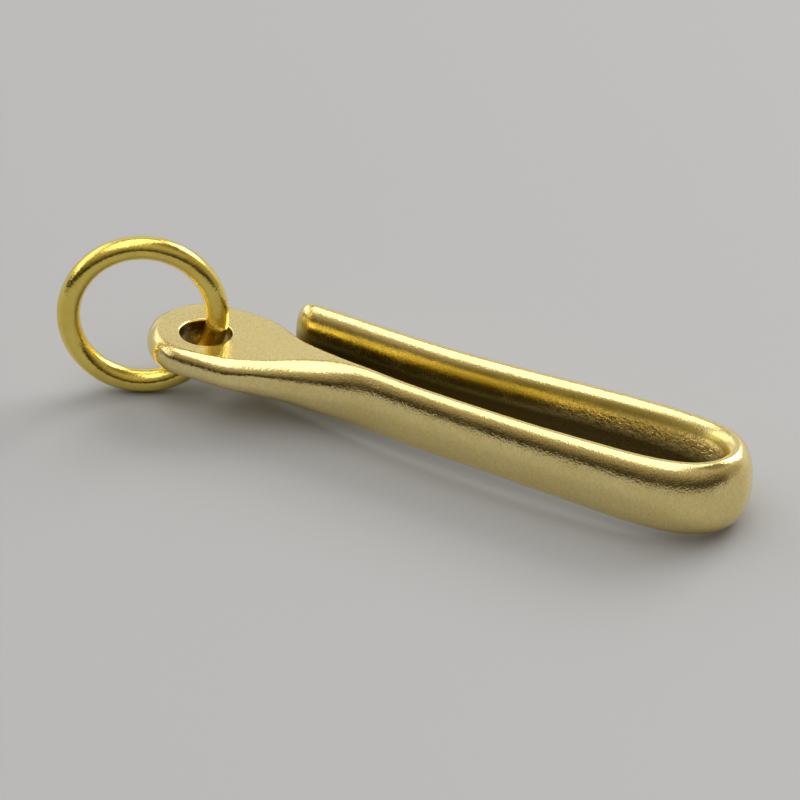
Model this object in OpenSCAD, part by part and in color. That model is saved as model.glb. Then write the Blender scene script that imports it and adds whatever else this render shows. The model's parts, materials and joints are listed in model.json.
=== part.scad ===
// Belt key clip: a cast brass belt hook with a brass key ring standing in its eye, as laid on a table.
// The hook is made in its own axes first: the origin on the eye bore's axis at the middle of the bar's height,
// +X along the arm with the eye, +Y to the free arm. The resting pose then lays it and the ring on the table.

/* [Eye plate] */
// Width of the flat plate around the eye
eye_w = 15.1; // [13.4:0.1:17]
// Thickness of the plate
eye_t = 3.95; // [3.2:0.05:4.6]
// Diameter of the eye, a plain bore through the plate
eye_bore_d = 6.7; // [5.8:0.1:7.6]
// Distance of the bore from the plate's centreline
eye_bore_off = 1.1; // [0:0.1:1.6]
// Height of the plate's middle above the middle of the bar
eye_raise = 1.12; // [0.6:0.02:1.6]
// Rounding of the plate's rim
eye_rim_r = 1.5; // [0.9:0.1:1.7]

/* [Bar] */
// Distance from the bore to where the plate has become a bar
neck_len = 21; // [17:0.5:25]
// Distance from the bore to the middle of the bar at the far side of the bend
hook_reach = 71.3; // [62:0.1:84]
// Widest distance between the middles of the two arms
arm_pitch = 13.15; // [12:0.05:16]
// Thickness of the arm with the eye
eye_arm_t = 3.7; // [3:0.1:4.4]
// Thickness of the free arm
free_arm_t = 4; // [3:0.1:4.8]
// Thickness of the bar at the bend
bend_t = 4.4; // [3.6:0.1:5.2]
// Height of the arms
arm_h = 8.5; // [7.4:0.1:9.6]
// Height of the bar at the bend
bend_h = 10.2; // [8.8:0.1:11.6]
// Length of the free arm's rounded end
tip_len = 3.2; // [2.2:0.1:4]

/* [Ring] */
// Diameter of the ring's wire
ring_wire_d = 3; // [2.4:0.1:3.4]
// Inside diameter of the ring
ring_inner_d = 16; // [15:0.5:19]

/* [Resting pose] */
// Tilt of the hook about its length, free arm low
rest_tilt = 6; // [4:0.5:8]
// Direction in which the ring points at the eye, from the hook's length
ring_turn = 26; // [15:1:40]
// Lean of the ring from upright
ring_lean = 7.4; // [4:0.1:10]
// Direction from the bore's axis in which the wire lies in the eye
ring_seat_dir = 70; // [50:5:90]

/* [Hidden] */

hook_colour = [0.80, 0.70, 0.40];
ring_colour = [0.84, 0.66, 0.20];

// Least gap between the ring's wire and the bore, and how far off centre the rest of the play lets it lie
ring_gap = 0.3;
ring_seat_share = 0.55;

// Overrun of the bore past both faces of the plate
overrun = 1;

// The neck between plate and bar, by its length: along it, then how far the centreline has come over from
// the plate's, the width has narrowed, the top has risen and the underside has dropped to the bar's, and how
// far the corners have grown into the bar's oval across, how far they reach down the side by half the
// height, and how far they have grown into the oval below
neck_shares = [
    [-0.02, 0.97, 0.00, 0.00, 0.00, 0.00, 1.03, 0.00],
    [ 0.14, 1.01, 0.00, 0.00, 0.03, 0.02, 1.02, 0.10],
    [ 0.31, 0.85, 0.09, 0.02, 0.16, 0.10, 0.93, 0.27],
    [ 0.48, 0.63, 0.38, 0.13, 0.37, 0.27, 0.76, 0.47],
    [ 0.64, 0.58, 0.60, 0.43, 0.62, 0.53, 0.86, 0.58],
    [ 0.81, 0.39, 0.77, 0.78, 0.87, 0.84, 0.87, 0.77],
    [ 1.00, 0.09, 0.93, 0.98, 0.99, 1.00, 1.00, 1.00]
];

// The bar's centreline from the neck round the bend to the free end: the place along the hook's reach, the
// place across by the arms' pitch, and how far the bar has swelled to its size at the bend
eye_arm_shares = [
    [0.38, -0.061, 0.00],
    [0.51, -0.137, 0.04],
    [0.65, -0.205, 0.20],
    [0.79, -0.251, 0.50],
    [0.91, -0.236, 0.82],
    [0.973, -0.087, 0.95],
    [1.00, 0.221, 1.00]
];
free_arm_shares = [
    [0.976, 0.510, 0.90],
    [0.91, 0.665, 0.70],
    [0.79, 0.749, 0.30],
    [0.63, 0.753, 0.05],
    [0.48, 0.741, 0.00],
    [0.34, 0.772, 0.00],
    [0.24, 0.825, 0.00],
    [0.149, 0.878, -0.05]
];
// How square the free end's rounding is from the side, where 2 is an ellipse
tip_power = 3;

// Steps along each stretch, steps of the two rounded ends, and points on each corner of the section
stretch_steps = 6;
end_steps = 12;
corner_steps = 7;
// Width of the first and last sections, which close the rounded ends
end_share = 0.03;

eye_half = eye_w / 2;
bore_r = eye_bore_d / 2;
wire_r = ring_wire_d / 2;
ring_r = ring_inner_d / 2 + wire_r;

function blend(a, b, share) = a + (b - a) * share;

// A station is [x, y, half width, middle height, half height, corner across, corner above, corner below]
function neck_station(s) =
    let (half = blend(eye_half, eye_arm_t / 2, s[2]))
    let (top = blend(eye_raise + eye_t / 2, arm_h / 2, s[3]))
    let (low = blend(eye_raise - eye_t / 2, -arm_h / 2, s[4]))
    let (tall = (top - low) / 2)
    let (rim = eye_rim_r / (eye_t / 2))
    [
        neck_len * s[0],
        eye_bore_off * s[1],
        half,
        (top + low) / 2,
        tall,
        half * blend(eye_rim_r / eye_half, 1, s[5]),
        tall * s[6],
        tall * blend(rim, 1, s[7])
    ];

function bar_station(s, arm_t) =
    let (half = blend(arm_t, bend_t, s[2]) / 2)
    let (tall = blend(arm_h, bend_h, s[2]) / 2)
    [hook_reach * s[0], arm_pitch * s[1], half, 0, tall, half, tall, tall];

stations = concat(
    [for (s = neck_shares) neck_station(s)],
    [for (s = eye_arm_shares) bar_station(s, eye_arm_t)],
    [for (s = free_arm_shares) bar_station(s, free_arm_t)]
);
last = len(stations) - 1;

// A smooth run through the stations: each stretch is a cubic whose end slopes come from its neighbours
function stretch(i) = norm([for (k = [0, 1]) stations[i + 1][k] - stations[i][k]]);
function slope(i) = (stations[i + 1] - stations[i]) / stretch(i);
function slope_at(i) =
    i == 0 ? slope(0) :
    i == last ? slope(last - 1) :
    (slope(i - 1) * stretch(i) + slope(i) * stretch(i - 1)) / (stretch(i - 1) + stretch(i));
function along(i, u) =
    stations[i] * (2 * pow(u, 3) - 3 * pow(u, 2) + 1)
    + slope_at(i) * stretch(i) * (pow(u, 3) - 2 * pow(u, 2) + u)
    + stations[i + 1] * (3 * pow(u, 2) - 2 * pow(u, 3))
    + slope_at(i + 1) * stretch(i) * (pow(u, 3) - pow(u, 2));
function heading(i, u) =
    let (way = stations[i] * (6 * pow(u, 2) - 6 * u) / stretch(i)
        + slope_at(i) * (3 * pow(u, 2) - 4 * u + 1)
        + stations[i + 1] * (6 * u - 6 * pow(u, 2)) / stretch(i)
        + slope_at(i + 1) * (3 * pow(u, 2) - 2 * u))
    atan2(way[1], way[0]);

// The section at a station: an upright rectangle with oval corners, square to the heading
function corner(st, side, up, share) =
    let (a = 90 * share)
    [
        side * (st[2] - st[5] * (1 - cos(a))),
        st[3] + up * (st[4] - (up > 0 ? st[6] : st[7]) * (1 - sin(a)))
    ];
function section(st) = [
    for (c = [[1, 1], [-1, 1], [-1, -1], [1, -1]], k = [0:corner_steps])
        corner(st, c[0], c[1], (c[0] == c[1] ? k : corner_steps - k) / corner_steps)
];
function place_section(st, turn) = [
    for (p = section(st))
        [st[0] - sin(turn) * p[0], st[1] + cos(turn) * p[0], p[1]]
];

// The plate's round end, whose rim is rounded all the way round
function eye_end(angle) =
    let (first = stations[0])
    let (out = eye_half * cos(angle))
    let (flat_r = eye_half - first[5])
    let (half = sqrt(pow(eye_half, 2) - pow(out, 2)))
    let (flat = out < flat_r ? sqrt(pow(flat_r, 2) - pow(out, 2)) : 0)
    let (full = out < flat_r ? 1 : sqrt(1 - pow((out - flat_r) / first[5], 2)))
    let (top_fall = first[6] * (1 - full))
    let (low_rise = first[7] * (1 - full))
    [
        first[0] - out,
        first[1],
        half,
        first[3] - (top_fall - low_rise) / 2,
        first[4] - (top_fall + low_rise) / 2,
        half - flat,
        first[6] * full,
        first[7] * full
    ];

// The free arm's round end, which falls away above and below as it narrows
function tip_end(angle) =
    let (end = stations[last])
    let (turn = heading(last - 1, 1))
    let (wide = max(cos(angle), end_share))
    let (tall = end[4] * max(pow(1 - pow(sin(angle), tip_power), 1 / tip_power), end_share))
    [
        end[0] + tip_len * sin(angle) * cos(turn),
        end[1] + tip_len * sin(angle) * sin(turn),
        end[2] * wide,
        end[3],
        tall,
        end[5] * wide,
        tall,
        tall
    ];

eye_end_start = asin(end_share);
sections = concat(
    [for (k = [0:end_steps - 1]) place_section(eye_end(blend(eye_end_start, 90, k / end_steps)), 0)],
    [for (i = [0:last - 1], k = [0:stretch_steps - 1])
        place_section(along(i, k / stretch_steps), heading(i, k / stretch_steps))],
    [for (k = [0:end_steps]) place_section(tip_end(90 * k / end_steps), heading(last - 1, 1))]
);

// The hook's resting pose: tilted about its length, then set down so that its lowest point is on the table
function tilted(p) = [
    p[0],
    p[1] * cos(rest_tilt) + p[2] * sin(rest_tilt),
    p[2] * cos(rest_tilt) - p[1] * sin(rest_tilt)
];
tilted_points = [for (ring = sections, p = ring) tilted(p)];
hook_lift = -min([for (p = tilted_points) p[2]]);

// The ring stands on the table and passes through the eye: its wire's middle crosses the plate's mid-height
// at the seat, which fixes how far round the ring that crossing is, and so the ring's middle
ring_play = bore_r - wire_r - ring_gap;
ring_seat = tilted([
    ring_play * ring_seat_share * cos(ring_seat_dir),
    ring_play * ring_seat_share * sin(ring_seat_dir),
    eye_raise
]) + [0, 0, hook_lift];
ring_out = [cos(ring_turn), sin(ring_turn), 0];
ring_up = [-sin(ring_turn) * sin(ring_lean), cos(ring_turn) * sin(ring_lean), cos(ring_lean)];
ring_mid_z = ring_r * cos(ring_lean) + wire_r;
ring_dip = asin((ring_seat[2] - ring_mid_z) / (ring_r * cos(ring_lean)));
ring_mid = ring_seat - ring_r * (ring_out * cos(ring_dip) + ring_up * sin(ring_dip));

// Both pieces are centred together over the table's origin
ring_span = [for (k = [0, 1]) ring_r * norm([ring_out[k], ring_up[k]]) + wire_r];
low_xy = [for (k = [0, 1]) min(ring_mid[k] - ring_span[k], min([for (p = tilted_points) p[k]]))];
high_xy = [for (k = [0, 1]) max(ring_mid[k] + ring_span[k], max([for (p = tilted_points) p[k]]))];
centre = [(low_xy[0] + high_xy[0]) / 2, (low_xy[1] + high_xy[1]) / 2, 0];

$fn = 96;

// Skins the run of sections, closed at both ends
module swept(rings) {
    count = len(rings[0]);
    end = (len(rings) - 1) * count;
    sides = [
        for (i = [0:len(rings) - 2], k = [0:count - 1])
            let (a = i * count + k)
            let (b = i * count + (k + 1) % count)
            each [[a, b, b + count], [a, b + count, a + count]]
    ];
    start_cap = [[for (k = [count - 1:-1:0]) k]];
    end_cap = [[for (k = [0:count - 1]) end + k]];
    polyhedron(
        points = [for (ring = rings, p = ring) p],
        faces = concat(sides, start_cap, end_cap)
    );
}

// The one-piece hook: plate, neck, two arms and bend, with the eye bored square through the plate
module belt_hook() {
    color(hook_colour)
    translate([0, 0, hook_lift] - centre)
    rotate([-rest_tilt, 0, 0])
    difference() {
        swept(sections);
        translate([0, 0, eye_raise - eye_t / 2 - overrun])
        cylinder(d = eye_bore_d, h = eye_t + 2 * overrun);
    }
}

// The key ring: round wire bent to a plain closed ring
module key_ring() {
    color(ring_colour)
    translate(ring_mid - centre)
    rotate([0, 0, ring_turn])
    rotate([90 - ring_lean, 0, 0])
    rotate_extrude()
    translate([ring_r, 0])
    circle(r = wire_r);
}

belt_hook();
key_ring();
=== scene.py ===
"""Belt key clip: a cast brass belt hook and the round key ring in its eye, dressed for a soft studio.

The hook's sizes are in millimetres in its own axes: the origin on the eye's axis at the middle of the bar's
height, +X along the arm with the eye, +Y to the free arm. Each finished mesh is in metres, in the frame of
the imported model.
"""

import json
import logging
import math
from dataclasses import dataclass
from enum import Enum

import bpy
import numpy as np
from mathutils import Matrix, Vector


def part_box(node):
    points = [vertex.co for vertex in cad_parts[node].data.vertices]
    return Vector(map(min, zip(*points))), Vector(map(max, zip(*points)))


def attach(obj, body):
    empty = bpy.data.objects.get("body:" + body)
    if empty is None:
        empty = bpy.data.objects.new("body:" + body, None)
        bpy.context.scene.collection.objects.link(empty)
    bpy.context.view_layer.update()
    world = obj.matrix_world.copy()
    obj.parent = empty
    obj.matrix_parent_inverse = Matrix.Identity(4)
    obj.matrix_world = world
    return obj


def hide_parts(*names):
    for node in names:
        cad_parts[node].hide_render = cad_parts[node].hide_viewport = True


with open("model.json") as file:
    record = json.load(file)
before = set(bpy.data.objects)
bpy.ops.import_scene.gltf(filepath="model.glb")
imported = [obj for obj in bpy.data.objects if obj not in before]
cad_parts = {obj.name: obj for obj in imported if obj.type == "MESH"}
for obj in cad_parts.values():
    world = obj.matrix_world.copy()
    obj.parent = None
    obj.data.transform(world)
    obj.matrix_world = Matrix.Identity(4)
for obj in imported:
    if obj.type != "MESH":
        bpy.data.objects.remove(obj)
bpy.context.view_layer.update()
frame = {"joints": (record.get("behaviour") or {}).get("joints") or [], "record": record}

Array = np.ndarray
Thing = bpy.types.Object
Socket = bpy.types.NodeSocket
Colour = tuple[float, float, float, float]
Triple = tuple[float, float, float]
Range = tuple[float, float]

MM = 0.001
log = logging.getLogger("belt_key_clip")


class Face(Enum):
    """A flat side of the eye plate."""

    ABOVE = 1
    BELOW = -1


class Mark(Enum):
    """A painted share on a mesh, which its material reads by this name."""

    SATIN = "satin"
    INNER = "inner"
    BORED = "bored"
    SHADED = "shaded"
    SEAM = "seam"


def blend(a: Array, b: Array, share: Array) -> Array:
    """Value on the straight way from a to b: a plus share times the difference."""
    return a + (b - a) * share


def smooth(value: Array, low: float, high: float) -> Array:
    """Soft step 3t^2 - 2t^3, where t is how far value is from low to high, held between 0 and 1."""
    t = np.clip((value - low) / (high - low), 0, 1)
    return t * t * (3 - 2 * t)


def grid_faces(rows: int, columns: int) -> Array:
    """Four-cornered faces of a grid that closes round its columns.

    Args:
        rows: Number of rings.
        columns: Points on each ring.

    Returns:
        Point numbers, one row of four for each face, ordered ring by ring.
    """
    i, k = np.meshgrid(np.arange(rows - 1), np.arange(columns), indexing="ij")
    a = i * columns + k
    b = i * columns + (k + 1) % columns
    return np.stack([a, b, b + columns, a + columns], axis=2).reshape(-1, 4)


def make_piece(name: str, points: Array, faces: list[Array]) -> Thing:
    """Makes one closed, smooth, outward-facing mesh object at the origin.

    Args:
        name: Name of the piece.
        points: Places of the points in millimetres, in the frame.
        faces: Arrays of point numbers, one array for each number of corners.

    Returns:
        The object, linked to the scene.
    """
    mesh = bpy.data.meshes.new(name)
    corners = np.concatenate([part.ravel() for part in faces]).astype(np.int32)
    sizes = np.concatenate([np.full(len(part), part.shape[1]) for part in faces])
    starts = (np.cumsum(sizes) - sizes).astype(np.int32)
    mesh.vertices.add(len(points))
    mesh.loops.add(len(corners))
    mesh.polygons.add(len(sizes))
    mesh.vertices.foreach_set("co", (points * MM).astype(np.float32).ravel())
    mesh.loops.foreach_set("vertex_index", corners)
    mesh.polygons.foreach_set("loop_start", starts)
    mesh.update(calc_edges=True)
    mesh.validate()
    mesh.polygons.foreach_set("use_smooth", np.ones(len(sizes), dtype=bool))
    piece = bpy.data.objects.new(name, mesh)
    bpy.context.scene.collection.objects.link(piece)
    return piece


def mark_points(piece: Thing, mark: Mark, share: Array) -> None:
    """Stores one share from 0 to 1 for each point of a piece, under the mark's name."""
    layer = piece.data.attributes.new(mark.value, "FLOAT", "POINT")
    layer.data.foreach_set("value", share.astype(np.float32))


def hand_waves(points: Array, lengths: tuple[float, ...], seed: int) -> Array:
    """Slow unevenness of a hand-finished surface: the mean of sine waves in scattered directions.

    Each wave is sin(2 pi (direction . point) / length + phase), its direction and phase by a seeded draw.

    Args:
        points: Places in millimetres.
        lengths: Wavelengths in millimetres.
        seed: Seed of the draw.

    Returns:
        The unevenness at each point, 0 to 1.
    """
    draw = np.random.default_rng(seed)
    ways = draw.normal(size=(len(lengths), 3))
    ways /= np.linalg.norm(ways, axis=1, keepdims=True)
    phases = draw.uniform(0, 2 * np.pi, len(lengths))
    turns = 2 * np.pi * (points @ ways.T) / np.array(lengths) + phases
    return 0.5 + 0.5 * np.sin(turns).mean(axis=1)


class Graph:
    """A node tree being filled, with short calls for adding its nodes and joining them.

    Its place is the output whose coordinates its patterns go by.
    """

    place: Socket

    def __init__(self, tree: bpy.types.NodeTree) -> None:
        """Starts on a tree, emptied first."""
        self.tree = tree
        tree.nodes.clear()

    def node(self, kind: str, **values: object) -> bpy.types.Node:
        """Adds a node and sets or joins its inputs by name.

        Args:
            kind: Blender's name for the node type.
            **values: Settings of the node, or inputs with spaces written as underscores.

        Returns:
            The new node.
        """
        made = self.tree.nodes.new(kind)
        for key, value in values.items():
            if hasattr(made, key):
                setattr(made, key, value)
            else:
                self.put(made.inputs[key.replace("_", " ")], value)
        return made

    def put(self, socket: Socket, value: object) -> None:
        """Joins another node's output to a socket, or sets the socket's own value.

        Args:
            socket: The input to fill.
            value: Output, number, vector or colour.
        """
        if isinstance(value, Socket):
            self.tree.links.new(value, socket)
        else:
            socket.default_value = value

    def result(self, kind: str, terms: dict[int, object], output: int = 0, **settings: str) -> Socket:
        """Adds a node whose sockets go by number.

        Args:
            kind: Blender's name for the node type.
            terms: Numbers, colours or outputs, by the number of the input they go to.
            output: Number of the output wanted.
            **settings: Settings of the node.

        Returns:
            That output.
        """
        made = self.node(kind, **settings)
        for index, term in terms.items():
            self.put(made.inputs[index], term)
        return made.outputs[output]

    def sum(self, kind: str, *terms: object) -> Socket:
        """Does one step of arithmetic, named as Blender names it, on numbers or outputs."""
        return self.result("ShaderNodeMath", dict(enumerate(terms)), operation=kind)

    def times(self, a: object, b: object) -> Socket:
        """Multiplies two numbers."""
        return self.sum("MULTIPLY", a, b)

    def plus(self, a: object, b: object) -> Socket:
        """Adds two numbers."""
        return self.sum("ADD", a, b)

    def add_share(self, total: object, value: object, share: object) -> Socket:
        """Adds a share of a value: total plus value times share."""
        return self.sum("MULTIPLY_ADD", value, share, total)

    def lerp(self, share: object, a: object, b: object) -> Socket:
        """Mixes two numbers: a plus share times the difference."""
        return self.add_share(a, self.sum("SUBTRACT", b, a), share)

    def span(self, value: object, low: float, high: float, first: float = 0.0, last: float = 1.0) -> Socket:
        """Carries a value from between low and high to between first and last by a held soft step."""
        terms = dict(enumerate((value, low, high, first, last)))
        return self.result("ShaderNodeMapRange", terms, interpolation_type="SMOOTHSTEP")

    def mix(self, share: object, a: object, b: object) -> Socket:
        """Mixes two colours: all of a at share 0, all of b at share 1."""
        return self.result("ShaderNodeMix", {0: share, 6: a, 7: b}, 2, data_type="RGBA")

    def stain(self, tone: object, mask: Socket, strength: float, colour: Colour) -> Socket:
        """Lays a colour over a tone where a mask is high, at most by its strength."""
        return self.mix(self.times(mask, strength), tone, colour)

    def drawn(self, draw: Triple) -> Socket:
        """Multiplies the coordinates one by one: a small number draws a pattern out that way."""
        return self.result("ShaderNodeVectorMath", {0: self.place, 1: draw}, operation="MULTIPLY")

    def noise(self, scale: object, **values: object) -> Socket:
        """Adds a cloudy noise, 0 to 1, with scale features to the metre and other inputs by name."""
        return self.node("ShaderNodeTexNoise", Scale=scale, **{"Vector": self.place, **values}).outputs[0]

    def mark(self, mark: Mark) -> Socket:
        """Reads a share stored on the mesh."""
        made = self.node("ShaderNodeAttribute", attribute_type="GEOMETRY", attribute_name=mark.value)
        return made.outputs["Fac"]


def graph_of(owner: bpy.types.Material | bpy.types.World) -> Graph:
    """Turns on the nodes of a material or world and starts a graph on them."""
    owner.use_nodes = True
    return Graph(owner.node_tree)


class EffectGroup:
    """A shader effect that several materials share, as a node group with named inputs and outputs."""

    name = "effect"
    inputs: tuple[tuple[str, float], ...] = ()

    def __init__(self) -> None:
        """Builds the group once."""
        self.tree = bpy.data.node_groups.new(self.name, "ShaderNodeTree")
        sockets = self.tree.interface
        sockets.new_socket("Vector", in_out="INPUT", socket_type="NodeSocketVector")
        for label, value in self.inputs:
            sockets.new_socket(label, in_out="INPUT", socket_type="NodeSocketFloat").default_value = value
        graph = Graph(self.tree)
        enter = graph.node("NodeGroupInput").outputs
        graph.place = enter["Vector"]
        filled = self.fill(graph, enter)
        for label in filled:
            sockets.new_socket(label, in_out="OUTPUT", socket_type="NodeSocketFloat")
        graph.node("NodeGroupOutput", **filled)

    def fill(self, graph: Graph, enter: bpy.types.NodeOutputs) -> dict[str, Socket]:
        """Puts the effect's nodes into the group and gives its outputs. Each effect says how."""
        raise NotImplementedError

    def use(self, graph: Graph, **values: object) -> bpy.types.NodeOutputs:
        """Places the group in a material, with its inputs given by name as for a node."""
        return graph.node("ShaderNodeGroup", node_tree=self.tree, Vector=graph.place, **values).outputs


class TumbledGrain(EffectGroup):
    """The fine dimples and cross strokes that tumbling and a sanding belt leave on brass.

    Height is dimple depth times a fine noise, plus stroke depth times a noise drawn out across the bar,
    plus ripple depth times a slower noise. Mottle is a slow noise and Speck a fine one, each 0 to 1.
    """

    name = "tumbled_grain"
    inputs = (("Size", 3e-4), ("Dimple Depth", 2e-5), ("Stroke Depth", 2e-5), ("Ripple Depth", 3e-5))
    stroke_draw = (1.7, 0.4, 0.4)
    ripple_scale = 900.0
    mottle_scale = 320.0
    mottle_edge = (0.34, 0.66)
    speck_edge = (0.40, 0.60)

    def fill(self, graph: Graph, enter: bpy.types.NodeOutputs) -> dict[str, Socket]:
        """Fills the group: three noises for the height, two of them for the specks too, and the mottle.

        Args:
            graph: The group's graph.
            enter: The group's inputs.

        Returns:
            The group's outputs by name.
        """
        fineness = graph.sum("DIVIDE", 1.0, enter["Size"])
        dimple = graph.noise(fineness, Detail=1.6, Roughness=0.5)
        stroke = graph.noise(fineness, Vector=graph.drawn(self.stroke_draw), Detail=1.5, Roughness=0.5)
        ripple = graph.noise(self.ripple_scale, Detail=2.0, Roughness=0.5)
        height = graph.times(dimple, enter["Dimple Depth"])
        height = graph.add_share(height, stroke, enter["Stroke Depth"])
        height = graph.add_share(height, ripple, enter["Ripple Depth"])
        mottle = graph.noise(self.mottle_scale, Detail=4.0, Roughness=0.55)
        half_each = graph.add_share(graph.times(dimple, 0.5), stroke, 0.5)
        return {
            "Height": height,
            "Mottle": graph.span(mottle, *self.mottle_edge),
            "Speck": graph.span(half_each, *self.speck_edge),
        }


class CastPits(EffectGroup):
    """Small round pits that casting leaves, where Amount says that no tool reached them.

    A pit is the middle of a cell of a scattered cell pattern: depth times a soft step of the distance from
    the cell's point, kept where a slow noise and Amount together are high.
    """

    name = "cast_pits"
    inputs = (("Size", 6e-4), ("Depth", 2e-5), ("Amount", 0.5))
    pit_reach = 0.42
    gather_scale = 900.0
    gather_edge = (0.02, 0.22)

    def fill(self, graph: Graph, enter: bpy.types.NodeOutputs) -> dict[str, Socket]:
        """Fills the group: cells for the pits and a slow noise that gathers them.

        Args:
            graph: The group's graph.
            enter: The group's inputs.

        Returns:
            The group's outputs by name.
        """
        fineness = graph.sum("DIVIDE", 1.0, enter["Size"])
        cells = graph.node("ShaderNodeTexVoronoi", Vector=graph.place, Scale=fineness, Randomness=1.0)
        pit = graph.span(cells.outputs["Distance"], 0.0, self.pit_reach, 1.0, 0.0)
        gather = graph.noise(self.gather_scale, Detail=2.0, Roughness=0.6)
        there = graph.plus(gather, graph.sum("SUBTRACT", enter["Amount"], 1.0))
        mask = graph.times(pit, graph.span(there, *self.gather_edge))
        return {"Height": graph.times(mask, graph.times(enter["Depth"], -1.0)), "Mask": mask}


@dataclass(frozen=True)
class Brass:
    """What the two brasses share: tumbled grain, casting pits and a metal shader. Sizes in metres.

    In each brass a share is how strongly a colour covers the ones laid before it, at most.
    """

    grain: TumbledGrain
    pits: CastPits
    grain_size: float = 0.00024
    dimple_depth: float = 0.000026
    stroke_depth: float = 0.000011
    ripple_depth: float = 0.00002
    pit_size: float = 0.0004
    pit_depth: float = 0.00001
    name = "brass"

    def worked(self, graph: Graph, pit_amount: object) -> tuple[Socket, ...]:
        """Places the grain and the pits.

        Args:
            graph: The material's graph.
            pit_amount: How many pits there are, 0 to 1.

        Returns:
            The masks of mottle, specks and pits, and the height of grain and pits together in metres.
        """
        depths = {"Dimple_Depth": self.dimple_depth, "Stroke_Depth": self.stroke_depth}
        grain = self.grain.use(graph, Size=self.grain_size, Ripple_Depth=self.ripple_depth, **depths)
        pits = self.pits.use(graph, Size=self.pit_size, Depth=self.pit_depth, Amount=pit_amount)
        height = graph.plus(grain["Height"], pits["Height"])
        return grain["Mottle"], grain["Speck"], pits["Mask"], height

    def paint(self, graph: Graph) -> tuple[Socket, Socket, Socket]:
        """Works out colour, roughness and height over the surface. Each brass says how."""
        raise NotImplementedError

    def material(self) -> bpy.types.Material:
        """Builds the material.

        Returns:
            The material, which reads Object coordinates and the marks of its piece.
        """
        made = bpy.data.materials.new(self.name)
        graph = graph_of(made)
        graph.place = graph.node("ShaderNodeTexCoord").outputs["Object"]
        tone, rough, height = self.paint(graph)
        bump = graph.node("ShaderNodeBump", Strength=1.0, Distance=1.0, Height=height)
        values = {"Base_Color": tone, "Roughness": rough, "Normal": bump.outputs[0]}
        shader = graph.node("ShaderNodeBsdfPrincipled", Metallic=1.0, **values)
        graph.node("ShaderNodeOutputMaterial", Surface=shader.outputs[0])
        return made


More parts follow.
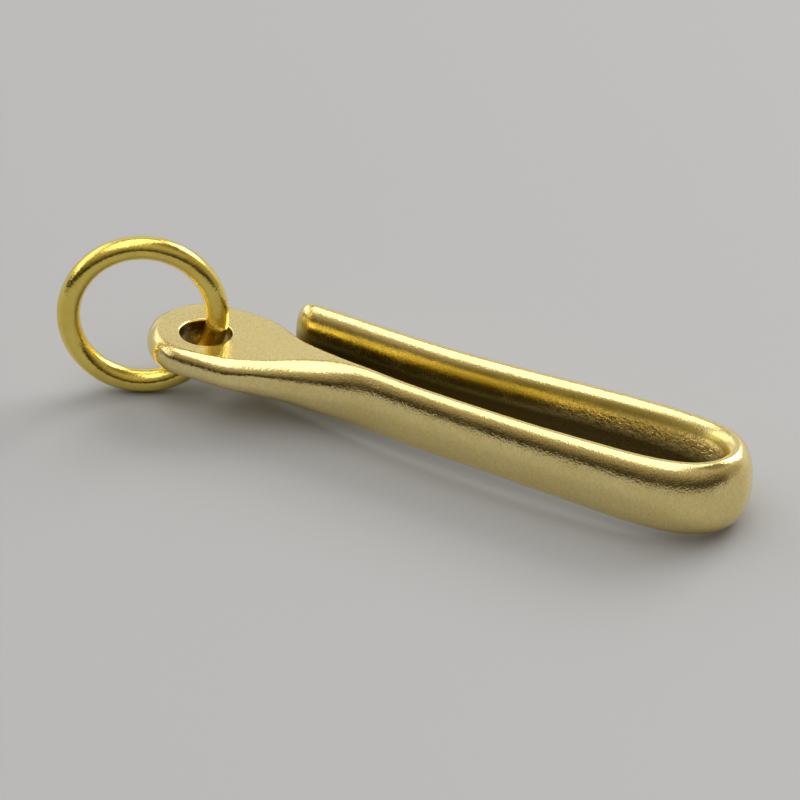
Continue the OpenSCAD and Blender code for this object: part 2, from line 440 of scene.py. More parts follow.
@dataclass(frozen=True)
class HookBrass(Brass):
    """The hook's pale cast brass: tumble polished, satin on the plate's flats, as cast deep in the slot,
    where its inner faces carry a painted reflection and painted shade.
    """

    colour: Colour = (0.91, 0.75, 0.33, 1.0)
    warm: Colour = (0.87, 0.68, 0.24, 1.0)
    dull: Colour = (0.58, 0.46, 0.19, 1.0)
    painted_reflection_gold: Colour = (0.51, 0.40, 0.075, 1.0)
    aged: Colour = (0.24, 0.16, 0.05, 1.0)
    dark: Colour = (0.09, 0.052, 0.008, 1.0)
    warm_share: float = 0.35
    dull_share: float = 0.35
    painted_reflection_share: float = 0.85
    painted_reflection_fade: Range = (0.5, 0.85)
    painted_reflection_left: float = 0.2
    hollow_share: float = 0.4
    pit_share: float = 0.4
    bore_share: float = 0.6
    painted_shade_share: float = 0.95
    polished: float = 0.10
    satin: float = 0.17
    rough: float = 0.20
    mottle_gloss: float = 0.06
    speck_gloss: float = 0.05
    pit_amount: Range = (0.34, 0.62)
    slot_edge: Range = (0.0, 0.3)
    slot_grain: float = 0.45
    skin_size: float = 0.0004
    skin_draw: Triple = (0.6, 1.0, 1.0)
    skin_depth: float = 0.00015
    skin_edge: Range = (0.58, 1.0)
    hollow_edge: Range = (0.38, 0.62)
    groove_scale: float = 330.0
    groove_swirl: float = 1.2
    groove_depth: float = 0.000005
    name = "hook_brass"

    def cast_skin(self, graph: Graph, inner: Socket) -> tuple[Socket, Socket]:
        """The lumpy skin of the casting, left where no tool reached into the slot.

        Args:
            graph: The material's graph.
            inner: Share of the slot's depth, 0 outside it.

        Returns:
            Its height in metres, and a mask of its hollows.
        """
        amount = graph.span(inner, *self.skin_edge)
        drawn = graph.drawn(self.skin_draw)
        lumps = graph.noise(1 / self.skin_size, Vector=drawn, Detail=2.5, Roughness=0.55, Distortion=0.5)
        height = graph.times(graph.times(lumps, self.skin_depth), amount)
        hollow = graph.times(graph.span(lumps, *self.hollow_edge, 1.0, 0.0), amount)
        return height, hollow

    def paint(self, graph: Graph) -> tuple[Socket, Socket, Socket]:
        """Works out colour, roughness and height from the marks satin, inner, bored and shaded.

        Args:
            graph: The material's graph.

        Returns:
            Colour, roughness, and height in metres.
        """
        satin, inner, bored, shaded = map(graph.mark, (Mark.SATIN, Mark.INNER, Mark.BORED, Mark.SHADED))
        pit_amount = graph.span(satin, 0.0, 1.0, *self.pit_amount)
        mottle, speck, pitted, height = self.worked(graph, pit_amount)
        skin, hollow = self.cast_skin(graph, inner)
        # Painted reflection and shade: a darker, deeper gold laid on the faces turned into the slot,
        # strongest along the slot and weaker towards the bend.
        painted_reflection = graph.span(inner, *self.slot_edge, 0.0, self.painted_reflection_share)
        painted_reflection = graph.times(painted_reflection, graph.span(inner, *self.painted_reflection_fade, 1.0, self.painted_reflection_left))
        tone = graph.stain(self.colour, mottle, self.warm_share, self.warm)
        tone = graph.stain(tone, speck, self.dull_share, self.dull)
        tone = graph.mix(painted_reflection, tone, self.painted_reflection_gold)
        tone = graph.stain(tone, hollow, self.hollow_share, self.aged)
        tone = graph.stain(tone, pitted, self.pit_share, self.aged)
        tone = graph.stain(tone, bored, self.bore_share, self.aged)
        # Painted shade: near black laid over the lower faces that turn into the slot.
        tone = graph.stain(tone, shaded, self.painted_shade_share, self.dark)
        flat = graph.span(satin, 0.0, 1.0, self.polished, self.satin)
        slot = graph.span(inner, *self.slot_edge, 0.0, self.rough - self.polished)
        rough = graph.add_share(graph.plus(flat, slot), mottle, self.mottle_gloss)
        rough = graph.add_share(rough, speck, self.speck_gloss)
        height = graph.times(graph.span(inner, *self.slot_edge, 1.0, self.slot_grain), height)
        values = {"Vector": graph.place, "Scale": self.groove_scale, "Distortion": self.groove_swirl}
        grooves = graph.node("ShaderNodeTexWave", bands_direction="Z", **values)
        turned = graph.times(graph.times(grooves.outputs["Fac"], bored), self.groove_depth)
        return tone, rough, graph.plus(graph.plus(height, skin), turned)


@dataclass(frozen=True)
class RingBrass(Brass):
    """The ring's bright drawn brass wire, a deeper yellow than the hook, a little dark at its joint."""

    grain_size: float = 0.00032
    dimple_depth: float = 0.000024
    stroke_depth: float = 0.000008
    pit_size: float = 0.0005
    pit_depth: float = 0.000012
    pit_amount: float = 0.42
    colour: Colour = (0.88, 0.70, 0.17, 1.0)
    deep: Colour = (0.72, 0.54, 0.09, 1.0)
    joint: Colour = (0.30, 0.19, 0.06, 1.0)
    mottle_share: float = 0.5
    speck_share: float = 0.25
    pit_share: float = 0.5
    joint_share: float = 0.12
    polished: float = 0.15
    mottle_gloss: float = 0.05
    joint_gloss: float = 0.15
    name = "ring_brass"

    def paint(self, graph: Graph) -> tuple[Socket, Socket, Socket]:
        """Works out colour, roughness and height from the mark seam.

        Args:
            graph: The material's graph.

        Returns:
            Colour, roughness, and height in metres.
        """
        seam = graph.mark(Mark.SEAM)
        mottle, speck, pitted, height = self.worked(graph, self.pit_amount)
        tone = graph.stain(self.colour, mottle, self.mottle_share, self.deep)
        tone = graph.stain(tone, speck, self.speck_share, self.deep)
        tone = graph.stain(tone, pitted, self.pit_share, self.joint)
        tone = graph.stain(tone, seam, self.joint_share, self.joint)
        rough = graph.add_share(self.polished, mottle, self.mottle_gloss)
        rough = graph.add_share(rough, seam, self.joint_gloss)
        return tone, rough, height


@dataclass
class BeltHook:
    """The one-piece hook: eye plate, neck, arm with the eye, bend and free arm. Lengths in millimetres."""

    eye_w: float = 15.1
    eye_t: float = 3.95
    eye_bore_d: float = 6.7
    eye_bore_off: float = 1.1
    eye_raise: float = 1.12
    eye_rim_r: float = 1.5
    eye_lip_r: float = 0.28
    neck_len: float = 21.0
    hook_reach: float = 71.3
    arm_pitch: float = 13.15
    eye_arm_t: float = 3.7
    free_arm_t: float = 4.0
    bend_t: float = 4.4
    arm_h: float = 8.5
    bend_h: float = 10.2
    tip_len: float = 3.2
    tip_power: float = 3.0
    end_share: float = 0.004
    wave_depth: float = 0.03
    crown_deg: float = 7.0
    stretch_steps: int = 14
    end_steps: int = 26
    corner_points: int = 13
    flat_points: int = 24
    side_points: int = 8
    eye_cut_points: int = 4
    eye_block: float = 4.75
    eye_steps: int = 7
    eye_crowd: float = 0.8
    bore_steps: int = 9
    bore_slack: float = 0.02
    rim_drop: float = 1.0
    flat_slack: float = 0.1
    satin_end: Range = (3.5, 14.5)
    satin_side: Range = (0.78, 1.0)
    satin_eye: Range = (0.1, 0.35)
    slot_start: Range = (2.0, 14.0)
    bend_start: Range = (22.0, 62.0)
    bend_share: float = 0.7
    inner_facing: Range = (0.45, 0.95)
    shade_facing: Range = (0.1, 0.6)
    shade_rise: Range = (-0.1, 0.32)
    wave_lengths: tuple[float, ...] = (9.0, 7.0, 5.5, 4.2, 3.4, 2.8)
    wave_seed: int = 7
    wave_calm: float = 0.7

    def neck_rows(self) -> Array:
        """Stations of the neck, from the plate's middle to the bar.

        Each row of shares is: the place along the neck; how far the centreline keeps to the plate's; how
        far the width, the top, the underside and the corners across have gone over to the bar's; how far
        the corners reach down from the top, by half the height; and how far they have gone over below.

        Returns:
            Rows of x, y, half width, middle height, half height, corner across, corner above, corner below.
        """
        shares = np.array(
            [
                [-0.02, 0.97, 0.00, 0.00, 0.00, 0.00, 1.03, 0.00],
                [0.14, 1.01, 0.00, 0.00, 0.03, 0.02, 1.02, 0.10],
                [0.31, 0.85, 0.09, 0.02, 0.16, 0.10, 0.93, 0.27],
                [0.48, 0.63, 0.38, 0.13, 0.37, 0.27, 0.76, 0.47],
                [0.64, 0.58, 0.60, 0.43, 0.62, 0.53, 0.86, 0.58],
                [0.81, 0.39, 0.77, 0.78, 0.87, 0.84, 0.87, 0.77],
                [1.00, 0.09, 0.93, 0.98, 0.99, 1.00, 1.00, 1.00],
            ]
        )
        along, over, narrow, rise, drop, across, above, below = shares.T
        half = blend(self.eye_w / 2, self.eye_arm_t / 2, narrow)
        top = blend(self.eye_raise + self.eye_t / 2, self.arm_h / 2, rise)
        low = blend(self.eye_raise - self.eye_t / 2, -self.arm_h / 2, drop)
        tall = (top - low) / 2
        rim = self.eye_rim_r / (self.eye_t / 2)
        corner = half * blend(self.eye_rim_r / (self.eye_w / 2), 1, across)
        up, down = tall * above, tall * blend(rim, 1, below)
        x, y = self.neck_len * along, self.eye_bore_off * over
        return np.stack([x, y, half, (top + low) / 2, tall, corner, up, down], 1)

    def bar_rows(self, shares: list[list[float]], arm_t: float) -> Array:
        """Stations of the oval bar.

        Args:
            shares: Rows of the place along the reach, the place across by the pitch, and the swell.
            arm_t: Thickness of the arm before it swells.

        Returns:
            Rows as in neck_rows.
        """
        along, over, swell = np.array(shares).T
        half = blend(arm_t, self.bend_t, swell) / 2
        tall = blend(self.arm_h, self.bend_h, swell) / 2
        x, y = self.hook_reach * along, self.arm_pitch * over
        return np.stack([x, y, half, 0 * half, tall, half, tall, tall], 1)

    def stations(self) -> Array:
        """All stations, from the plate round the bend to the free end.

        Returns:
            Rows as in neck_rows.
        """
        eye_arm = [
            [0.38, -0.061, 0.00],
            [0.51, -0.137, 0.04],
            [0.65, -0.205, 0.20],
            [0.79, -0.251, 0.50],
            [0.91, -0.236, 0.82],
            [0.973, -0.087, 0.95],
            [1.00, 0.221, 1.00],
        ]
        free_arm = [
            [0.976, 0.510, 0.90],
            [0.91, 0.665, 0.70],
            [0.79, 0.749, 0.30],
            [0.63, 0.753, 0.05],
            [0.48, 0.741, 0.00],
            [0.34, 0.772, 0.00],
            [0.24, 0.825, 0.00],
            [0.149, 0.878, -0.05],
        ]
        arms = [self.bar_rows(eye_arm, self.eye_arm_t), self.bar_rows(free_arm, self.free_arm_t)]
        return np.concatenate([self.neck_rows(), *arms])

    def run(self) -> tuple[Array, Array]:
        """Carries the stations along one curve without a break in curvature, which polished metal shows.

        Each stretch is a cubic. The slopes at the stations come from one set of equations that makes the
        second derivatives of neighbouring stretches equal, with the slopes at both ends given.

        Returns:
            Rows as in neck_rows, and the heading of each in radians.
        """
        rows = self.stations()
        chord = np.linalg.norm(np.diff(rows[:, :2], axis=0), axis=1)
        rise = np.diff(rows, axis=0) / chord[:, None]
        balance = np.diag(np.concatenate([[1], 2 / chord[:-1] + 2 / chord[1:], [1]]))
        balance += np.diag(np.append(1 / chord[:-1], 0), -1) + np.diag(np.append(0, 1 / chord[1:]), 1)
        wanted = np.zeros_like(rows)
        wanted[0, 0] = 1
        wanted[-1] = rise[-1]
        wanted[1:-1] = 3 * (rise[:-1] / chord[:-1, None] + rise[1:] / chord[1:, None])
        slope = np.linalg.solve(balance, wanted)
        u = (np.arange(self.stretch_steps) / self.stretch_steps)[None, :, None]
        a, b = rows[:-1, None], rows[1:, None]
        out_slope = slope[:-1, None] * chord[:, None, None]
        in_slope = slope[1:, None] * chord[:, None, None]
        place = a * (2 * u**3 - 3 * u**2 + 1) + out_slope * (u**3 - 2 * u**2 + u)
        place += b * (3 * u**2 - 2 * u**3) + in_slope * (u**3 - u**2)
        way = (a - b) * (6 * u**2 - 6 * u) + out_slope * (3 * u**2 - 4 * u + 1)
        way += in_slope * (3 * u**2 - 2 * u)
        place = np.concatenate([*place, rows[-1:]])
        way = np.concatenate([*way, slope[-1:]])
        place[:, 5] = np.minimum(place[:, 5], place[:, 2])
        place[:, 7] = np.minimum(place[:, 7], place[:, 4])
        place[:, 6] = np.minimum(place[:, 6], 2 * place[:, 4] - place[:, 7])
        return place, np.unwrap(np.arctan2(way[:, 1], way[:, 0]))

    def eye_end(self, first: Array) -> Array:
        """Rows of the plate's round end: a half circle in plan, its rim rounded by a quarter circle.

        Args:
            first: The station at the end circle's middle.

        Returns:
            Rows as in neck_rows, from the tip inwards.
        """
        start = math.asin(self.end_share)
        angle = blend(start, np.pi / 2, np.arange(self.end_steps) / self.end_steps)
        half = self.eye_w / 2
        out = half * np.cos(angle)
        flat_r = half - first[5]
        flat = np.sqrt(np.maximum(flat_r**2 - out**2, 0))
        full = np.sqrt(1 - (np.maximum(out - flat_r, 0) / first[5]) ** 2)
        wide = half * np.sin(angle)
        fall, rise = first[6] * (1 - full), first[7] * (1 - full)
        middle, tall = first[3] - (fall - rise) / 2, first[4] - (fall + rise) / 2
        x, y = first[0] - out, np.full_like(out, first[1])
        return np.stack([x, y, wide, middle, tall, wide - flat, first[6] * full, first[7] * full], 1)

    def tip_end(self, last: Array, turn: float) -> Array:
        """Rows of the free arm's end: an ellipse in plan, and from the side a curve of a higher power.

        The half height is the arm's times (1 - s^p)^(1/p), where s is how far along the end the row is and
        p is tip_power.

        Args:
            last: The last station.
            turn: Heading there, in radians.

        Returns:
            Rows as in neck_rows, from the station to the tip.
        """
        angle = np.pi / 2 * np.arange(1, self.end_steps + 1) / self.end_steps
        wide = np.maximum(np.cos(angle), self.end_share)
        out = self.tip_len * np.sin(angle)
        fall = np.maximum(1 - np.sin(angle) ** self.tip_power, 0) ** (1 / self.tip_power)
        tall = last[4] * np.maximum(fall, self.end_share)
        middle = np.full_like(out, last[3])
        x, y = last[0] + out * math.cos(turn), last[1] + out * math.sin(turn)
        return np.stack([x, y, last[2] * wide, middle, tall, last[5] * wide, tall, tall], 1)

    def outline(self) -> tuple[Array, Array, Array]:
        """Goes once round a section: a rectangle and an oval added together, so that the corners are oval.

        On a corner the oval turns while the rectangle waits. On a flat the rectangle goes across as a
        cosine while the oval creeps on by a few degrees, which crowns the flat a little.

        Returns:
            The rectangle's share across and up, and the oval's angle, at each point.
        """
        parts = []
        for quarter in range(4):
            start = 90 * quarter
            right = 1 if quarter in (0, 3) else -1
            upper = 1 if quarter in (0, 1) else -1
            steps = np.arange(self.corner_points)
            corner = start + self.crown_deg + (90 - 2 * self.crown_deg) * steps / self.corner_points
            one = np.ones_like(corner)
            parts.append(np.stack([right * one, upper * one, corner], 1))
            count = self.side_points if quarter % 2 else self.flat_points
            w = np.arange(count) / count
            angle = start + 90 - self.crown_deg + 2 * self.crown_deg * w
            going, waiting = np.cos(np.pi * w), np.ones(count)
            across, up = (waiting, going) if quarter % 2 else (going, waiting)
            parts.append(np.stack([right * across, upper * up, angle], 1))
        across, up, angle = np.concatenate(parts).T
        return across, up, np.radians(angle)

    def skin(self) -> tuple[Array, Array]:
        """The hook's skin before the eye is bored, as a grid of section rings.

        Returns:
            Points as rings by columns by 3, and the rows behind the rings.
        """
        rows, heading = self.run()
        first = self.eye_end(self.stations()[0])
        last = self.tip_end(rows[-1], heading[-1])
        rows = np.concatenate([first, rows, last])
        heading = np.concatenate([np.zeros(len(first)), heading, np.full(len(last), heading[-1])])
        share_across, share_up, angle = self.outline()
        x, y, half, middle, tall, corner, above, below = rows.T[:, :, None]
        corner_up = np.where(np.sin(angle) > 0, above, below)
        across = (half - corner) * share_across + corner * np.cos(angle)
        up = middle + blend(below - tall, tall - above, (share_up + 1) / 2) + corner_up * np.sin(angle)
        turn = heading[:, None]
        return np.stack([x - np.sin(turn) * across, y + np.cos(turn) * across, up], 2), rows

    def block_loop(self, face: Face, skin: Array, rows: Array) -> tuple[Array, Array]:
        """Finds the block of faces that the eye replaces on one side of the plate.

        Args:
            face: Which side.
            skin: The skin's points.
            rows: The rows behind its rings.

        Returns:
            The numbers of the points round the block, in order of their angle about the eye's axis, and
            which of the skin's faces lie in the block.
        """
        rings, columns = skin.shape[:2]
        first = int(np.searchsorted(rows[:, 0] + self.eye_block, 0))
        last = int(np.searchsorted(rows[: rings // 2, 0], self.eye_block))
        start = self.corner_points
        if face is Face.BELOW:
            start = 3 * self.corner_points + self.flat_points + self.side_points
        low, high = start + self.eye_cut_points, start + self.flat_points - self.eye_cut_points
        along, across = np.arange(first, last + 1), np.arange(low, high + 1)
        sides = [along * columns + edge for edge in (low, high)]
        ends = [edge * columns + across for edge in (first, last)]
        loop = np.unique(np.concatenate(sides + ends))
        flat = skin.reshape(-1, 3)[loop]
        loop = loop[np.argsort(np.arctan2(flat[:, 1], flat[:, 0]))]
        i, k = np.meshgrid(np.arange(rings - 1), np.arange(columns), indexing="ij")
        inside = (i >= first) & (i < last) & (k >= low) & (k < high)
        return loop, inside.ravel()

    def eye_wall(self, skin: Array, rows: Array, loops: tuple[Array, ...]) -> Array:
        """The eye's own surface: from the plate's top in to the lip, down the bore and out below.

        Rings of points run from each block's edge to the lip's circle on straight lines. The lip is a
        quarter circle of radius eye_lip_r, and the bore between the lips is a plain cylinder.

        Args:
            skin: The skin's points.
            rows: The rows behind its rings.
            loops: Point numbers round the block above and below, each in order of angle.

        Returns:
            Points as rings by columns by 3, without the blocks' own edges.
        """
        bore = self.eye_bore_d / 2
        near = rows[: len(rows) // 2]
        out = np.linspace(0, 1, self.eye_steps)[1:, None, None] ** self.eye_crowd
        turn = np.linspace(0, np.pi / 2, self.eye_steps)[1:, None]
        halves = []
        for loop, face in zip(loops, Face):
            edge = skin.reshape(-1, 3)[loop]
            angle = np.arctan2(edge[:, 1], edge[:, 0])
            way = np.stack([np.cos(angle), np.sin(angle)], 1)
            wide = way * (bore + self.eye_lip_r)
            top = np.interp(wide[:, 0], near[:, 0], near[:, 3] + face.value * near[:, 4])
            rim = np.column_stack([wide, top])
            radius = bore + self.eye_lip_r * (1 - np.sin(turn))
            height = top - face.value * self.eye_lip_r * (1 - np.cos(turn))
            lip = np.concatenate([way * radius[:, :, None], height[:, :, None]], axis=2)
            halves.append(np.concatenate([edge + (rim - edge) * out, lip]))
        above, below = halves
        down = np.linspace(0, 1, self.bore_steps)[1:-1, None, None]
        wall = above[-1] + (below[-1] - above[-1]) * down
        wall[:, :, :2] *= bore / np.linalg.norm(wall[:, :, :2], axis=2, keepdims=True)
        return np.concatenate([above, wall, below[::-1]])

    def marks(self, rows: Array, eye: Array) -> dict[Mark, Array]:
        """Works out where the metal is satin, faces into the slot, is bored, or lies in the slot's shade.

        On the skin each mark is a share along the hook times one round the section, both soft steps. At the
        eye it goes by the distance from the eye's axis.

        Args:
            rows: The rows behind the skin's rings.
            eye: The eye's own points.

        Returns:
            For each mark its shares, in the order skin, eye, end caps.
        """
        x = rows[:, 0]
        share_across, _, angle = self.outline()
        facing = np.cos(angle)
        flat = np.abs(np.sin(angle)) > math.cos(math.radians(self.crown_deg + self.flat_slack))
        plate = 1 - smooth(x, *self.satin_end)
        plate[len(rows) // 2 :] = 0
        slot = smooth(x, *self.slot_start)
        bend = (1 - self.bend_share) * slot + self.bend_share * smooth(x, *self.bend_start)
        under = 1 - smooth(np.sin(angle), *self.shade_rise)
        on_skin = {
            Mark.SATIN: np.outer(plate, flat * (1 - smooth(np.abs(share_across), *self.satin_side))),
            Mark.INNER: np.outer(bend, smooth(facing, *self.inner_facing)),
            Mark.BORED: np.zeros((len(rows), len(angle))),
            Mark.SHADED: np.outer(slot, smooth(facing, *self.shade_facing) * under),
        }
        beyond = np.linalg.norm(eye[:, :, :2], axis=2) - self.eye_bore_d / 2
        outside = np.abs(eye[:, :, 2] - self.eye_raise) > self.rim_drop
        on_flat = smooth(beyond, *self.satin_eye) * outside
        at_eye = {Mark.SATIN: on_flat, Mark.BORED: beyond < self.bore_slack}
        none = np.zeros(beyond.shape)
        return {
            mark: np.concatenate([share.ravel(), at_eye.get(mark, none).ravel(), np.zeros(2)])
            for mark, share in on_skin.items()
        }

    def assemble(self) -> tuple[Array, list[Array], dict[Mark, Array]]:
        """Puts skin, eye and end caps together in the hook's own axes.

        Returns:
            Points, faces with four and with three corners, and the marks for each point.
        """
        skin, rows = self.skin()
        rings, columns = skin.shape[:2]
        loops, cuts = zip(*(self.block_loop(face, skin, rows) for face in Face))
        quads = grid_faces(rings, columns)[~(cuts[0] | cuts[1])]
        eye = self.eye_wall(skin, rows, loops)
        start = rings * columns
        count = len(loops[0])
        numbers = np.concatenate([loops[0], start + np.arange(eye.shape[0] * count), loops[1]])
        eye_faces = numbers[grid_faces(eye.shape[0] + 2, count)]
        poles = np.stack([skin[0].mean(axis=0), skin[-1].mean(axis=0)])
        pole = np.full(columns, start + eye.shape[0] * count)
        first = np.arange(columns)
        after = (first + 1) % columns
        last = start - columns
        caps = [np.stack([pole, after, first], 1), np.stack([pole + 1, first + last, after + last], 1)]
        points = np.concatenate([skin.reshape(-1, 3), eye.reshape(-1, 3), poles])
        return points, [np.concatenate([quads, eye_faces]), np.concatenate(caps)], self.marks(rows, eye)

    def laid(self, points: Array) -> Array:
        """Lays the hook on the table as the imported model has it.

        The hinge's axis is the eye's axis, so its lean gives the hook's tilt, and the node's box gives the
        place.

        Args:
            points: Places in the hook's own axes.

        Returns:
            Places in the frame.
        """
        axis = frame["joints"][0]["axis"]
        tilt = math.atan2(axis[1], axis[2])
        x, y, z = points.T
        across = y * math.cos(tilt) + z * math.sin(tilt)
        leaned = np.stack([x, across, z * math.cos(tilt) - y * math.sin(tilt)], 1)
        low, high = (np.array(corner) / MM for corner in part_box("belt_hook"))
        return leaned + (low + high) / 2 - (leaned.min(axis=0) + leaned.max(axis=0)) / 2

    def build(self) -> Thing:
        """Builds the hook's mesh, with the slow unevenness of hand finishing sunk into it.

        Returns:
            The piece, in the frame.
        """
        points, faces, marks = self.assemble()
        places = self.laid(points)
        rough = make_piece("belt_hook_cast", places, faces).data
        normals = np.empty(places.size, dtype=np.float32)
        rough.vertex_normals.foreach_get("vector", normals)
        bpy.data.meshes.remove(rough)
        waves = hand_waves(places, self.wave_lengths, self.wave_seed)
        depth = self.wave_depth * waves * (1 - self.wave_calm * marks[Mark.SATIN])
        sunk = places - normals.reshape(-1, 3).astype(float) * depth[:, None]
        piece = make_piece("belt_hook_cast", sunk, faces)
        for mark, share in marks.items():
            mark_points(piece, mark, share)
        return piece

    def dress(self, piece: Thing, finish: HookBrass) -> None:
        """Gives the piece its finish and its body, and hides the node it stands for.

        Args:
            piece: The hook's piece.
            finish: Its finish.
        """
        piece.data.materials.append(finish.material())
        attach(piece, "hook")
        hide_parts("belt_hook")


@dataclass
class KeyRing:
    """The closed ring of round wire, with the butt joint where its ends meet. Lengths in millimetres."""

    wire_d: float = 3.0
    inner_d: float = 16.0
    joint_deg: float = 94.5
    joint_w: float = 0.06
    joint_depth: float = 0.010
    joint_step: float = 0.005
    joint_reach: float = 4.0
    joint_gap: float = 1.3
    step_fade: Range = (0.4, 1.2)
    wave_depth: float = 0.012
    wave_lengths: tuple[float, ...] = (7.0, 5.0, 3.6)
    wave_seed: int = 3
    around: int = 220
    about_joint: int = 40
    wire_points: int = 48

    def plane(self) -> tuple[Array, Array, Array]:
        """Directions of the ring, from the record's mount.

        Returns:
            Unit vectors level along its plane, up its plane, and along its axis.
        """
        mounts = {mount["name"]: mount for mount in frame["record"]["mounts"]}
        axis = np.array(mounts["key_ring_opening"]["axis"])
        axis /= np.linalg.norm(axis)
        level = np.cross([0, 0, 1], axis)
        level /= np.linalg.norm(level)
        return level, np.cross(axis, level), axis

    def build(self) -> Thing:
        """Builds the ring: a circle of wire radius carried round a circle.

        At the joint the wire's radius drops by a narrow bell curve. Beside it the big circle is a hair wider
        on one side and narrower on the other, which fades out along the wire.

        Returns:
            The piece, in the frame.
        """
        level, rise, axis = self.plane()
        low, high = (np.array(corner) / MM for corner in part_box("key_ring"))
        middle = (low + high) / 2
        ring_r = (self.inner_d + self.wire_d) / 2
        even = np.linspace(-np.pi, np.pi, self.around, endpoint=False)
        reach = self.joint_reach * self.joint_w / ring_r
        close = np.linspace(-reach, reach, self.about_joint)
        away = np.sort(np.concatenate([even[np.abs(even) > reach * self.joint_gap], close]))
        groove = np.exp(-((away * ring_r / self.joint_w) ** 2))
        step = self.joint_step * np.sin(away / 2) * (1 - smooth(np.abs(away), *self.step_fade))
        wire = self.wire_d / 2 - self.joint_depth * groove
        angle = away + math.radians(self.joint_deg)
        outward = level * np.cos(angle)[:, None] + rise * np.sin(angle)[:, None]
        turn = 2 * np.pi * np.arange(self.wire_points) / self.wire_points
        way = outward[:, None] * np.cos(turn)[None, :, None] + axis * np.sin(turn)[None, :, None]
        core = middle + outward * (ring_r + step)[:, None]
        waves = hand_waves((core[:, None] + way).reshape(-1, 3), self.wave_lengths, self.wave_seed)
        depth = (self.wave_depth * waves).reshape(len(away), -1)
        places = core[:, None] + way * (wire[:, None] - depth)[:, :, None]
        faces = grid_faces(len(places) + 1, self.wire_points) % (len(places) * self.wire_points)
        piece = make_piece("key_ring_wire", places.reshape(-1, 3), [faces[:, ::-1]])
        mark_points(piece, Mark.SEAM, np.repeat(groove, self.wire_points))
        return piece

    def dress(self, piece: Thing, finish: RingBrass) -> None:
        """Gives the piece its finish and its body, and hides the node it stands for.

        Args:
            piece: The ring's piece.
            finish: Its finish.
        """
        piece.data.materials.append(finish.material())
        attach(piece, "ring")
        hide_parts("key_ring")


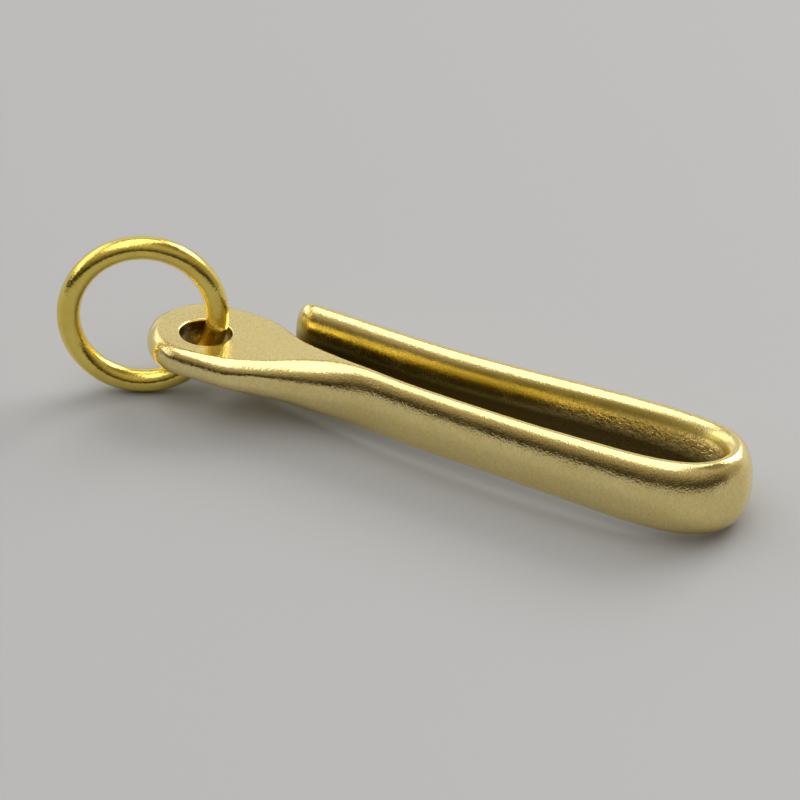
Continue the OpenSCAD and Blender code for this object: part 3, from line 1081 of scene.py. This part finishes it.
@dataclass
class Studio:
    """The pale floor, the soft surroundings, the key lamp and the camera. Lengths in metres.

    The surroundings go by the unit vector of a direction. Each strength is the light from there, and each
    pair of numbers says where a soft edge starts and ends.
    """

    floor_size: float = 6.0
    floor_colour: Colour = (0.40, 0.402, 0.408, 1.0)
    floor_rough: float = 0.6
    overhead: float = 2.0
    overhead_rise: Range = (0.70, 0.85)
    overhead_side: float = -0.26
    overhead_wide: Range = (0.28, 0.48)
    window: float = 1.5
    window_side: Range = (-0.78, -0.62)
    window_rise: Range = (0.12, 0.30)
    back: float = 0.74
    flank: float = 0.36
    flank_side: Range = (0.62, 0.92)
    upper: float = 0.22
    upper_rise: Range = (0.5, 0.8)
    front: Range = (0.015, 0.5)
    front_rise: Range = (0.05, 0.8)
    front_edge: Range = (-0.1, 0.35)
    front_turn: float = 0.09
    dim_colour: Colour = (1.0, 0.84, 0.55, 1.0)
    bright_colour: Colour = (1.0, 1.0, 1.0, 1.0)
    tint_edge: Range = (0.1, 0.9)
    key_power: float = 14.0
    key_size: Range = (1.01, 0.75)
    key_place: Triple = (0.48, 1.23, 0.90)
    aim: Triple = (-0.00436, 0.00604, 0.0)
    look: Triple = (-0.3310, 0.7411, -0.5843)
    distance: float = 0.5779
    roll: float = 0.016
    focal: float = 202.275
    sensor: float = 36.0
    clip: Range = (0.01, 20.0)

    def build_floor(self) -> None:
        """Builds the floor as stage: one flat, plain, matt sheet under the object."""
        half = self.floor_size / 2
        corners = np.array([[-half, -half, 0], [half, -half, 0], [half, half, 0], [-half, half, 0]]) / MM
        floor = make_piece("studio_floor", corners, [np.array([[0, 1, 2, 3]])])
        made = bpy.data.materials.new("studio_floor")
        graph = graph_of(made)
        values = {"Base_Color": self.floor_colour, "Roughness": self.floor_rough}
        shader = graph.node("ShaderNodeBsdfPrincipled", **values)
        graph.node("ShaderNodeOutputMaterial", Surface=shader.outputs[0])
        floor.data.materials.append(made)

    def build_surroundings(self) -> None:
        """Builds the world as soft surroundings.

        A bright light hangs overhead, a little left of the middle, and a window stands low at the left.
        The back is pale, the right flank dimmer, and what lies above both dimmer still. In front is a dark
        opening, through which the camera looks in. The dim parts are tinted warm.
        """
        bpy.context.scene.world = bpy.data.worlds.new("studio_tent")
        graph = graph_of(bpy.context.scene.world)
        way = graph.node("ShaderNodeTexCoord").outputs["Generated"]
        x, y, z = graph.node("ShaderNodeSeparateXYZ", Vector=way).outputs
        aside = graph.sum("ABSOLUTE", graph.sum("SUBTRACT", x, self.overhead_side))
        above = graph.span(z, *self.overhead_rise)
        above = graph.times(above, graph.span(aside, *self.overhead_wide, 1.0, 0.0))
        beside = graph.span(x, *self.flank_side, self.back, self.flank)
        beside = graph.lerp(graph.span(z, *self.upper_rise), beside, self.upper)
        facing = graph.add_share(graph.times(y, -1.0), x, self.front_turn)
        opening = graph.span(z, *self.front_rise, *self.front)
        around = graph.lerp(graph.span(facing, *self.front_edge), beside, opening)
        seen = graph.lerp(above, around, self.overhead)
        left = graph.times(graph.span(x, *self.window_side, 1.0, 0.0), graph.span(z, *self.window_rise))
        seen = graph.lerp(left, seen, self.window)
        tint = graph.mix(graph.span(seen, *self.tint_edge), self.dim_colour, self.bright_colour)
        shader = graph.node("ShaderNodeBackground", Color=tint, Strength=seen)
        graph.node("ShaderNodeOutputWorld", Surface=shader.outputs[0])

    def build_lamp(self) -> None:
        """Builds the key lamp: one large, far lamp behind the object at the right, aimed at it."""
        lamp = bpy.data.lights.new("key_lamp", "AREA")
        lamp.shape = "RECTANGLE"
        lamp.size, lamp.size_y = self.key_size
        lamp.energy = self.key_power
        key = bpy.data.objects.new("key_lamp", lamp)
        bpy.context.scene.collection.objects.link(key)
        self.aim_at(key, np.array(self.key_place), -np.array(self.key_place), 0.0)

    def aim_at(self, thing: Thing, place: Array, look: Array, roll: float) -> None:
        """Puts a lamp or camera at a place, looking along a direction.

        Args:
            thing: The lamp or camera.
            place: Where it stands.
            look: Where it looks.
            roll: Turn about its own view, in radians, its top to the left.
        """
        ahead = look / np.linalg.norm(look)
        right = np.cross(ahead, [0.0, 0.0, 1.0])
        right /= np.linalg.norm(right)
        up = np.cross(right, ahead)
        cos, sin = math.cos(roll), math.sin(roll)
        matrix = np.eye(4)
        matrix[:3] = np.column_stack([right * cos + up * sin, up * cos - right * sin, -ahead, place])
        thing.matrix_world = Matrix(matrix.tolist())

    def build_camera(self) -> None:
        """Builds the long-lens camera at the photograph's viewing angle."""
        lens = bpy.data.cameras.new("camera")
        lens.lens = self.focal
        lens.sensor_width = self.sensor
        lens.clip_start, lens.clip_end = self.clip
        camera = bpy.data.objects.new("camera", lens)
        bpy.context.scene.collection.objects.link(camera)
        look = np.array(self.look) / np.linalg.norm(self.look)
        self.aim_at(camera, np.array(self.aim) - look * self.distance, look, self.roll)
        bpy.context.scene.camera = camera


def main() -> None:
    """Builds the object and its studio in order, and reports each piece."""
    logging.basicConfig(level=logging.INFO, format="%(message)s")
    bpy.context.scene.view_settings.view_transform = "Standard"
    studio = Studio()
    studio.build_camera()
    grain, pits = TumbledGrain(), CastPits()
    for part, finish in ((BeltHook(), HookBrass(grain, pits)), (KeyRing(), RingBrass(grain, pits))):
        piece = part.build()
        part.dress(piece, finish)
        log.info("%s: %d faces", piece.name, len(piece.data.polygons))
    studio.build_floor()
    studio.build_surroundings()
    studio.build_lamp()


if __name__ == "__main__":
    main()
